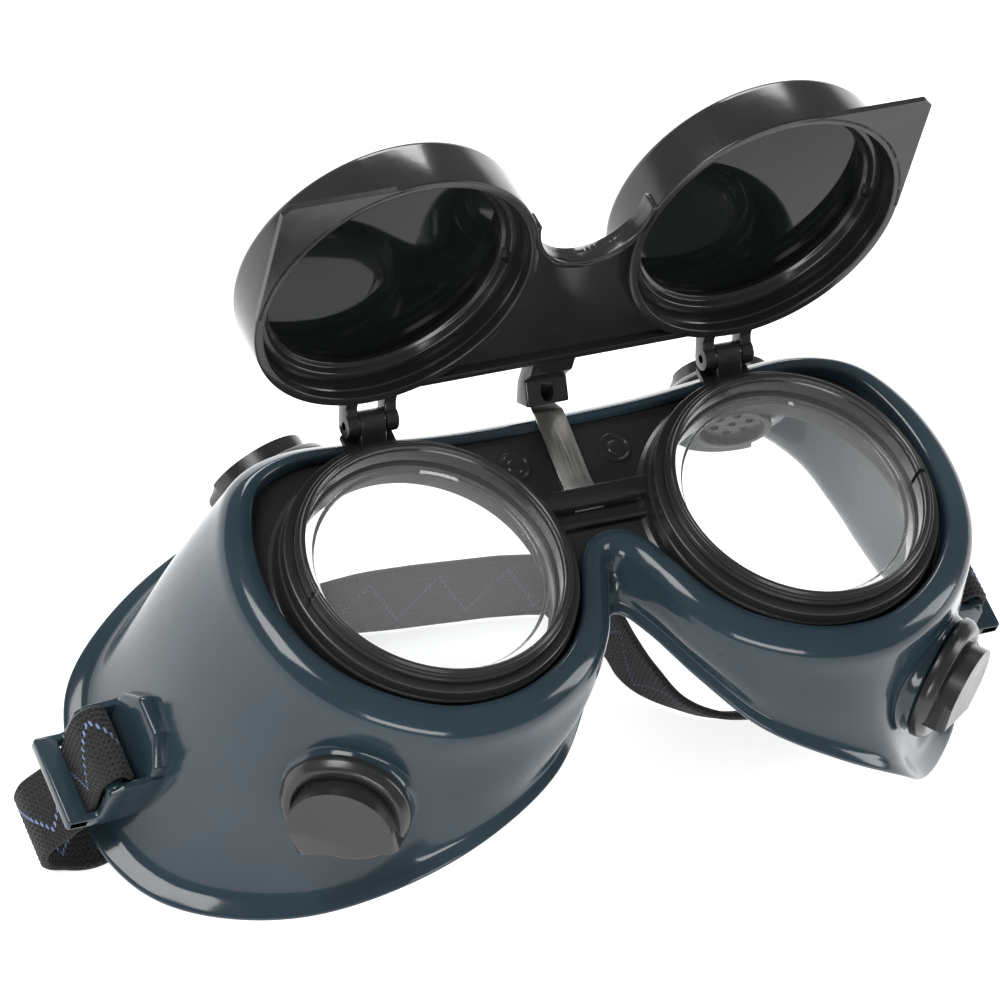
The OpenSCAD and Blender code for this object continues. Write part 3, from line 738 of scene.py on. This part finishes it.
def make_plate():
    outline = [(CURVE[j, 0] + (CURVE[j, 2] - 1.4) * LIP_IN[j, 0],
                CURVE[j, 1] + (CURVE[j, 2] - 1.4) * LIP_IN[j, 1])
               for j in range(len(CURVE))]
    sheet = prism(outline, PLATE_Z - PLATE_T, PLATE_Z)
    plate = smooth_object("front_plate_sheet", moved(sheet, TO_ROW), "plate", GOGGLES)
    for side in (-1, 1):
        cut(plate, moved(lathe([(0, -14), (26.2, -14), (26.2, -8), (0, -8)], 128), TO_ROW @ at_lens(side)))
    plate.data.set_sharp_from_angle(angle=math.radians(30))
    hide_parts("front_plate")
    housing = rounded([(WINDOW_R, PLATE_Z - PLATE_T, 0.3), (HOUSING_R, PLATE_Z - PLATE_T, 0.2),
                       (HOUSING_R, -6.0, 0), (HOUSING_R, -5.7, 0.15), (HOUSING_R - 0.35, -5.4, 0.15),
                       (HOUSING_R - 0.35, SHOULDER_Z, 0.45), (BORE_R + 0.1, SHOULDER_Z, 0.2),
                       (BORE_R, SEAT_Z, 0.1), (WINDOW_R, SEAT_Z, 0.2)], 0.2)
    parts = []
    for side in (-1, 1):
        parts.append(moved(lathe(housing, 160), at_lens(side)))
        foot = rounded([(HOUSING_R - 0.5, PLATE_Z - 0.4, 0), (HOUSING_R + 1.4, PLATE_Z - 0.4, 0),
                        (HOUSING_R + 1.1, PLATE_Z + 0.05, 0.2), (HOUSING_R + 0.25, PLATE_Z + 0.5, 0.5),
                        (HOUSING_R - 0.2, PLATE_Z + 1.4, 0)], 0.1)
        parts.append(moved(lathe(foot, 160), at_lens(side)))
        x0 = side * HINGE_X - KNUCKLE_W / 2
        knuckle = [(24.5, -7), (24.5, -5.3), (27.7, -5.3), (HINGE_Y - 1.2, HINGE_Z + KNUCKLE_R - 0.35)]
        knuckle += arc(HINGE_Y, HINGE_Z, KNUCKLE_R, 100, -75, 18) + [(29.5, -7)]
        parts.append(bevelled(side_prism(knuckle, x0, x0 + KNUCKLE_W), 0.3, 3, 25))
        parts.append(block(x0 - EAR_W, x0 + KNUCKLE_W + EAR_W, 25, HINGE_Y, -7.2, -6.1))
    parts.append(bevelled(block(-13, 13, 8.6, 12.8, PLATE_Z - 0.5, PLATE_Z + 2.2), 0.7, 4))
    parts.append(bevelled(block(-15, 15, 4.8, 6.4, PLATE_Z - 0.5, PLATE_Z + 1.2), 0.5, 3))
    for x in (-10, 10.5):
        badge = rounded([(0, -0.3, 0), (3.1, -0.3, 0), (3.1, 0.35, 0.15), (2.6, 0.35, 0.15), (2.4, 0.12, 0.1),
                         (1.5, 0.12, 0.1), (1.3, 0.3, 0.1), (0, 0.3, 0)], 0.1, 3)
        parts.append(moved(lathe(badge, 48), Matrix.Translation((x, 20.5, PLATE_Z))))
    smooth_object("lens_housings", moved(joined(parts), TO_ROW), "plate", GOGGLES, sharp=26)


# ---- Lenses and rings ----

CLEAR_Z, CLEAR_T, SHADE_T, CUP_DEPTH = SEAT_Z + 0.8, 2.2, 2.0, 10.8
RING_Z = CLEAR_Z + CLEAR_T
CUP_RIM_Z = SHOULDER_Z + 0.1
CUP_TOP_Z = CUP_RIM_Z + CUP_DEPTH
SHADE_Z = CUP_TOP_Z - 1.8 - SHADE_T
CUP_BORE_R = HOUSING_R - 1.8


def make_lenses(side):
    lens = rounded([(0, CLEAR_Z, 0), (LENS_R, CLEAR_Z, 0.25), (LENS_R, RING_Z, 0.25),
                    (LENS_R - 3.4, RING_Z, 0.3), (LENS_R - 3.9, RING_Z - 0.7, 0.3), (0, RING_Z - 0.7, 0)], 0.2)
    pane = moved(lathe(lens, 128), TO_ROW @ at_lens(side))
    clear = smooth_object(name_of("clear_lens_pane", side), pane, "clear", GOGGLES)
    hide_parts(name_of("clear_lens", side))
    dark = rounded([(0, SHADE_Z, 0), (LENS_R, SHADE_Z, 0.25), (LENS_R, SHADE_Z + SHADE_T, 0.25),
                    (0, SHADE_Z + SHADE_T, 0)], 0.2)
    pane = moved(lathe(dark, 128), TO_ROW @ OPENED @ at_lens(side))
    shade = smooth_object(name_of("shade_lens_pane", side), pane, "shade", FLIP)
    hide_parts(name_of("shade_lens", side))


def make_split_ring(side):
    r = LENS_R
    profile = rounded([(r - 1.5, RING_Z, 0.2), (r - 1.5, -1.5, 0.15), (r - 1.28, -1.2, 0.15),
                       (r - 1.28, -0.35, 0.3), (r - 0.9, 0, 0.35), (r - 0.5, -0.05, 0.3),
                       (r - 0.25, -0.55, 0.2), (r + 0.3, -0.6, 0.25), (r + 0.3, -1.3, 0.15),
                       (r + 0.1, -1.5, 0.1), (r + 0.1, -1.75, 0.1), (r + 0.35, -1.95, 0.15),
                       (r + 0.35, SHOULDER_Z + 0.05, 0.1), (r, SHOULDER_Z + 0.05, 0.1),
                       (r, RING_Z, 0.2)], 0.2, 3)
    half_gap = 1.0
    start = (186 if side < 0 else -6) + half_gap
    bm = lathe(profile, 180, start, 360 - 2 * half_gap)
    ring = smooth_object(name_of("split_retaining_ring", side), moved(bm, TO_ROW @ at_lens(side)),
                         "plate", GOGGLES, sharp=26)
    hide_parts(name_of("split_ring", side))


def make_shade_ring(side):
    z = SHADE_Z
    profile = rounded([(LENS_R - 2.6, z, 0.1), (LENS_R - 2.6, z - 1.1, 0.25), (LENS_R - 1.9, z - 1.5, 0.3),
                       (LENS_R - 1.4, z - 2.8, 0.4), (LENS_R - 0.5, z - 2.8, 0.3),
                       (CUP_BORE_R - 0.05, z - 2.4, 0.2), (CUP_BORE_R - 0.05, z, 0.1)], 0.2)
    bm = lathe(profile, 160)
    place = TO_ROW @ OPENED @ at_lens(side)
    ring = smooth_object(name_of("shade_retaining_ring", side), moved(bm, place), "flip", FLIP, sharp=26)
    for angle in (-92, 0, 180):
        notch = bevelled(block(LENS_R - 4, LENS_R - 1.1, -1.5, 1.5, z - 3.6, z - 1.3), 0.3, 2)
        cut(ring, moved(notch, place @ Matrix.Rotation(math.radians(angle), 4, "Z")))
    ring.data.set_sharp_from_angle(angle=math.radians(26))
    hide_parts(name_of("shade_ring", side))


# ---- Flip front ----

WEB_TOP_Z = CUP_RIM_Z + 3.8
WEB_T = 1.9
HINGE_EDGE_Y = 25.7
NOTCH_Y, NOTCH_R = -11.2, 11.0
CUP_R = HOUSING_R
LATCH_HALF = 4.3


def web_outline(cup_r):
    half = PITCH / 2
    top_angle = math.degrees(math.asin(HINGE_EDGE_Y / cup_r))
    low_angle = math.degrees(math.asin(-NOTCH_Y / cup_r))
    right = arc(half, 0, cup_r, 180 - top_angle, 180 + low_angle, 28)
    notch = arc(0, NOTCH_Y, NOTCH_R, 0, 180, 32)
    left = arc(-half, 0, cup_r, -low_angle, top_angle, 28)
    return right + notch + left


def make_flip():
    cup = rounded([(CUP_BORE_R, CUP_RIM_Z, 0.35), (CUP_R, CUP_RIM_Z, 0.35), (CUP_R, CUP_TOP_Z, 1.5),
                   (LENS_R - 3.2, CUP_TOP_Z, 0.5), (LENS_R - 3.2, SHADE_Z + SHADE_T, 0.2),
                   (CUP_BORE_R - 0.2, SHADE_Z + SHADE_T, 0.1), (CUP_BORE_R - 0.2, -0.6, 0.15),
                   (CUP_BORE_R, -0.9, 0.15)], 0.3, 5)
    parts = []
    for side in (-1, 1):
        parts.append(moved(lathe(cup, 192), at_lens(side)))
        tab = [(0, 0.6 - CUP_R), (side * (CUP_R - 1.5), 0.6 - CUP_R), (side * CUP_R, 2 - CUP_R),
               (side * CUP_R, 0)]
        inner = arc(0, 0, CUP_R - 0.9, 0 if side > 0 else 180, -90 if side > 0 else 270, 24)
        parts.append(moved(bevelled(prism(tab + inner, CUP_RIM_Z, CUP_RIM_Z + 1.2), 0.06, 1, 40),
                           at_lens(side)))
        ear = [(25.9, CUP_RIM_Z + 0.2), (25.9, CUP_RIM_Z + 3.6), (28.2, CUP_RIM_Z + 3.6)]
        ear += arc(HINGE_Y, HINGE_Z, KNUCKLE_R, 55, -180, 20) + [(28.2, CUP_RIM_Z + 0.2)]
        inner = KNUCKLE_W / 2 + EAR_GAP
        for x0 in (side * HINGE_X - inner - EAR_W, side * HINGE_X + inner):
            parts.append(bevelled(side_prism(ear, x0, x0 + EAR_W), 0.25, 3, 25))
    parts.append(bevelled(prism(web_outline(CUP_R - 0.9), WEB_TOP_Z - WEB_T, WEB_TOP_Z), 0.35, 3, 40))
    edge_x = PITCH / 2 - math.sqrt((CUP_BORE_R + 0.15) ** 2 - (HINGE_EDGE_Y - 1.6) ** 2)
    parts.append(bevelled(block(-edge_x, edge_x, HINGE_EDGE_Y - 1.6, HINGE_EDGE_Y, CUP_RIM_Z, WEB_TOP_Z),
                          0.35, 3))
    notch = arc(0, NOTCH_Y, NOTCH_R, 0, 180, 40) + arc(0, NOTCH_Y, NOTCH_R + 1.6, 180, 0, 40)
    parts.append(bevelled(prism(notch, CUP_RIM_Z, WEB_TOP_Z), 0.3, 3, 40))
    flip = smooth_object("flip_up_frame", moved(joined(parts), TO_ROW @ OPENED), "flip", FLIP, sharp=26)
    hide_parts("flip_front")
    latch_bm = side_prism([(24.6, CUP_RIM_Z), (24.6, WEB_TOP_Z), (29.6, WEB_TOP_Z), (33.5, 1), (37.6, -0.6),
                           (34.9, -4.6), (31.2, -1.4), (28.4, CUP_RIM_Z)], -LATCH_HALF, LATCH_HALF)
    latch_bm = moved(bevelled(latch_bm, 0.4, 3, 15), TO_ROW @ OPENED)
    latch = smooth_object("flip_latch", latch_bm, "flip", FLIP, sharp=26)
    hole = moved(lathe([(0, -0.1), (1.3, -0.1), (1.3, 3.6), (0, 3.6)], 40),
                 Matrix.Translation((0, 32.6, -3.4)) @ Matrix.Rotation(math.radians(-42), 4, "X")
                 @ Matrix.Diagonal((1, 1.5, 1, 1)))
    cut(latch, moved(hole, TO_ROW @ OPENED))
    latch.data.set_sharp_from_angle(angle=math.radians(26))


def make_leaf():
    """The steel latch leaf: a bent strip, narrower at its free end."""
    path = [(8.4, PLATE_Z + 0.35), (15.0, PLATE_Z + 0.35), (16.2, PLATE_Z + 0.4), (29.3, -7.6), (29.7, -7.75),
            (31.6, -8.52)]
    thick, half = 0.5, 3.0
    points, faces = [], []
    count = len(path)
    for i, (y, z) in enumerate(path):
        a, b = path[max(i - 1, 0)], path[min(i + 1, count - 1)]
        along = Vector((b[0] - a[0], b[1] - a[1])).normalized()
        up = Vector((-along.y, along.x)) * thick / 2
        w = half if i < count - 1 else half - 0.5
        points += [(-w, y - up.x, z - up.y), (w, y - up.x, z - up.y),
                   (w, y + up.x, z + up.y), (-w, y + up.x, z + up.y)]
        if i:
            faces += [(4 * i - 4 + k, 4 * i - 4 + (k + 1) % 4, 4 * i + (k + 1) % 4, 4 * i + k)
                      for k in range(4)]
    faces += [(3, 2, 1, 0), tuple(4 * (count - 1) + k for k in range(4))]
    bm = bevelled(new_bm(points, faces), 0.12, 2, 40)
    leaf = smooth_object("latch_leaf", moved(bm, TO_ROW), "steel", GOGGLES)
    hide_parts("leaf_spring")


# ---- Head strap ----

STRAP_W, STRAP_T = 15.2, 1.5
LUG_ROUTE = [(90, -62.6), (88, -60.4), (86.5, -57), (85.9, -51.5), (86.7, -48.3), (89, -47.1), (91.2, -48.6),
             (91.9, -52), (91.9, -60.4), (94.4, -65), (97.8, -69.6), (97.2, -74.6), (92.6, -77), (86, -77.1)]
BACK_ROUTE = [((77, 0, -75.2), (0, -0.95, 0.32)), ((66, -4.5, -73), (-0.05, -0.8, 0.6)),
              ((56, -6.8, -71.9), (-0.08, -0.68, 0.73)), ((47.6, -6.2, -71.6), (-0.15, -0.54, 0.83)),
              ((39.6, -4.2, -71.6), (-0.25, -0.52, 0.82)), ((33.6, -0.2, -71.2), (-0.28, -0.44, 0.85)),
              ((29.6, 5.3, -70.5), (-0.2, -0.2, 0.96)), ((27.6, 11.1, -70.4), (-0.12, -0.02, 0.99)),
              ((27, 16.6, -70.4), (-0.1, 0, 0.99)), ((25, 23, -70.4), (-0.05, 0.05, 0.99)),
              ((19, 29, -70.4), (0, 0.18, 0.98)), ((9.5, 31.3, -70.4), (0, 0.24, 0.97)),
              ((-1, 32.5, -70.5), (0, 0.26, 0.965)), ((-12, 33.5, -70.5), (0, 0.26, 0.965)),
              ((-23, 34.2, -70.5), (0, 0.2, 0.98)), ((-36, 33, -70.4), (0, 0.1, 0.99)),
              ((-49, 27, -70.4), (0, 0, 1)),
              ((-61, 18, -70.4), (0.05, -0.2, 0.98)), ((-71, 9.5, -72), (0.1, -0.7, 0.7)),
              ((-79, 5, -74.7), (0.1, -0.95, 0.3))]


def make_strap():
    lug = [((x, LUG_Y, z), (0, -1, 0)) for x, z in LUG_ROUTE]
    lug[-1] = ((LUG_ROUTE[-1][0], LUG_Y - 0.5, LUG_ROUTE[-1][1]), (0, -1, 0))
    route = lug + BACK_ROUTE + [((-p[0], p[1], p[2]), a) for p, a in reversed(lug)]
    rows = np.array([[*p, *a] for p, a in route], float)
    steps = 12
    smooth = []
    for i in range(len(rows) - 1):
        a, b, c, d = rows[max(i - 1, 0)], rows[i], rows[i + 1], rows[min(i + 2, len(rows) - 1)]
        for k in range(steps):
            smooth.append(spline(a, b, c, d, k / steps))
    smooth.append(rows[-1])
    smooth = np.array(smooth)
    along = np.gradient(smooth[:, :3], axis=0)
    along /= np.linalg.norm(along, axis=1)[:, None]
    across = smooth[:, 3:] - (smooth[:, 3:] * along).sum(1)[:, None] * along
    across /= np.linalg.norm(across, axis=1)[:, None]
    out = np.cross(along, across)
    travel = np.r_[0, np.cumsum(np.linalg.norm(np.diff(smooth[:, :3], axis=0), axis=1))]
    per_rib = 4
    rib_steps = STRAP_RIBS * per_rib
    half_w, half_t, rib_h = STRAP_W / 2, STRAP_T / 2, 0.26
    face = []
    for k in range(rib_steps + 1):
        v = -half_w + STRAP_W * k / rib_steps
        bulge = abs(math.sin(math.pi * k / per_rib))
        edge = min(1, (half_w - abs(v)) / 0.5)
        face.append((v, (half_t - rib_h * (1 - bulge)) * (0.55 + 0.45 * edge)))
    section = face + [(v, -t) for v, t in reversed(face)]
    count = len(section)
    bm = bmesh.new()
    rings = []
    for i in range(len(smooth)):
        rings.append([bm.verts.new(smooth[i, :3] + across[i] * v + out[i] * t) for v, t in section])
    uv = bm.loops.layers.uv.new("UVMap")
    for i in range(len(smooth) - 1):
        for k in range(count):
            j = (k + 1) % count
            f = bm.faces.new((rings[i][k], rings[i][j], rings[i + 1][j], rings[i + 1][k]))
            for loop, (row, col) in zip(f.loops, ((i, k), (i, j), (i + 1, j), (i + 1, k))):
                loop[uv].uv = (travel[row], section[col][0])
    bm.faces.new(list(reversed(rings[0])))
    bm.faces.new(rings[-1])
    # The blue thread's painted shade ends the same length before the strap's end as it starts after its
    # beginning
    MATERIALS["strap"] = strap_elastic(half_w, travel[-1] - UNSHADED_THREAD_MM)
    strap = smooth_object("elastic_strap", moved(bm, TO_ROW), "strap", GOGGLES, sharp=80)
    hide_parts("head_strap")


# ---- Build ----

make_camera()
make_studio()
floor = bpy.data.objects.new("floor", bpy.data.meshes.new("floor"))
floor_bm = bmesh.new()
bmesh.ops.create_grid(floor_bm, x_segments=1, y_segments=1, size=6)
floor_bm.to_mesh(floor.data)
floor_bm.free()
floor.data.materials.append(pale_floor())
bpy.context.scene.collection.objects.link(floor)

make_body()
make_plate()
make_flip()
make_leaf()
make_strap()
for side in (-1, 1):
    make_lug(side)
    make_lenses(side)
    make_split_ring(side)
    make_shade_ring(side)
    for which in VENTS:
        make_vent(side, which)

for node, obj in NODES.items():
    if node.startswith("lens_gasket"):
        finish = "rubber"
    elif node.startswith("hinge_pin"):
        finish = "steel"
    elif node.startswith("vent_baffle"):
        finish = "vent"
    else:
        continue
    obj.data.materials.clear()
    obj.data.materials.append(MATERIALS[finish])
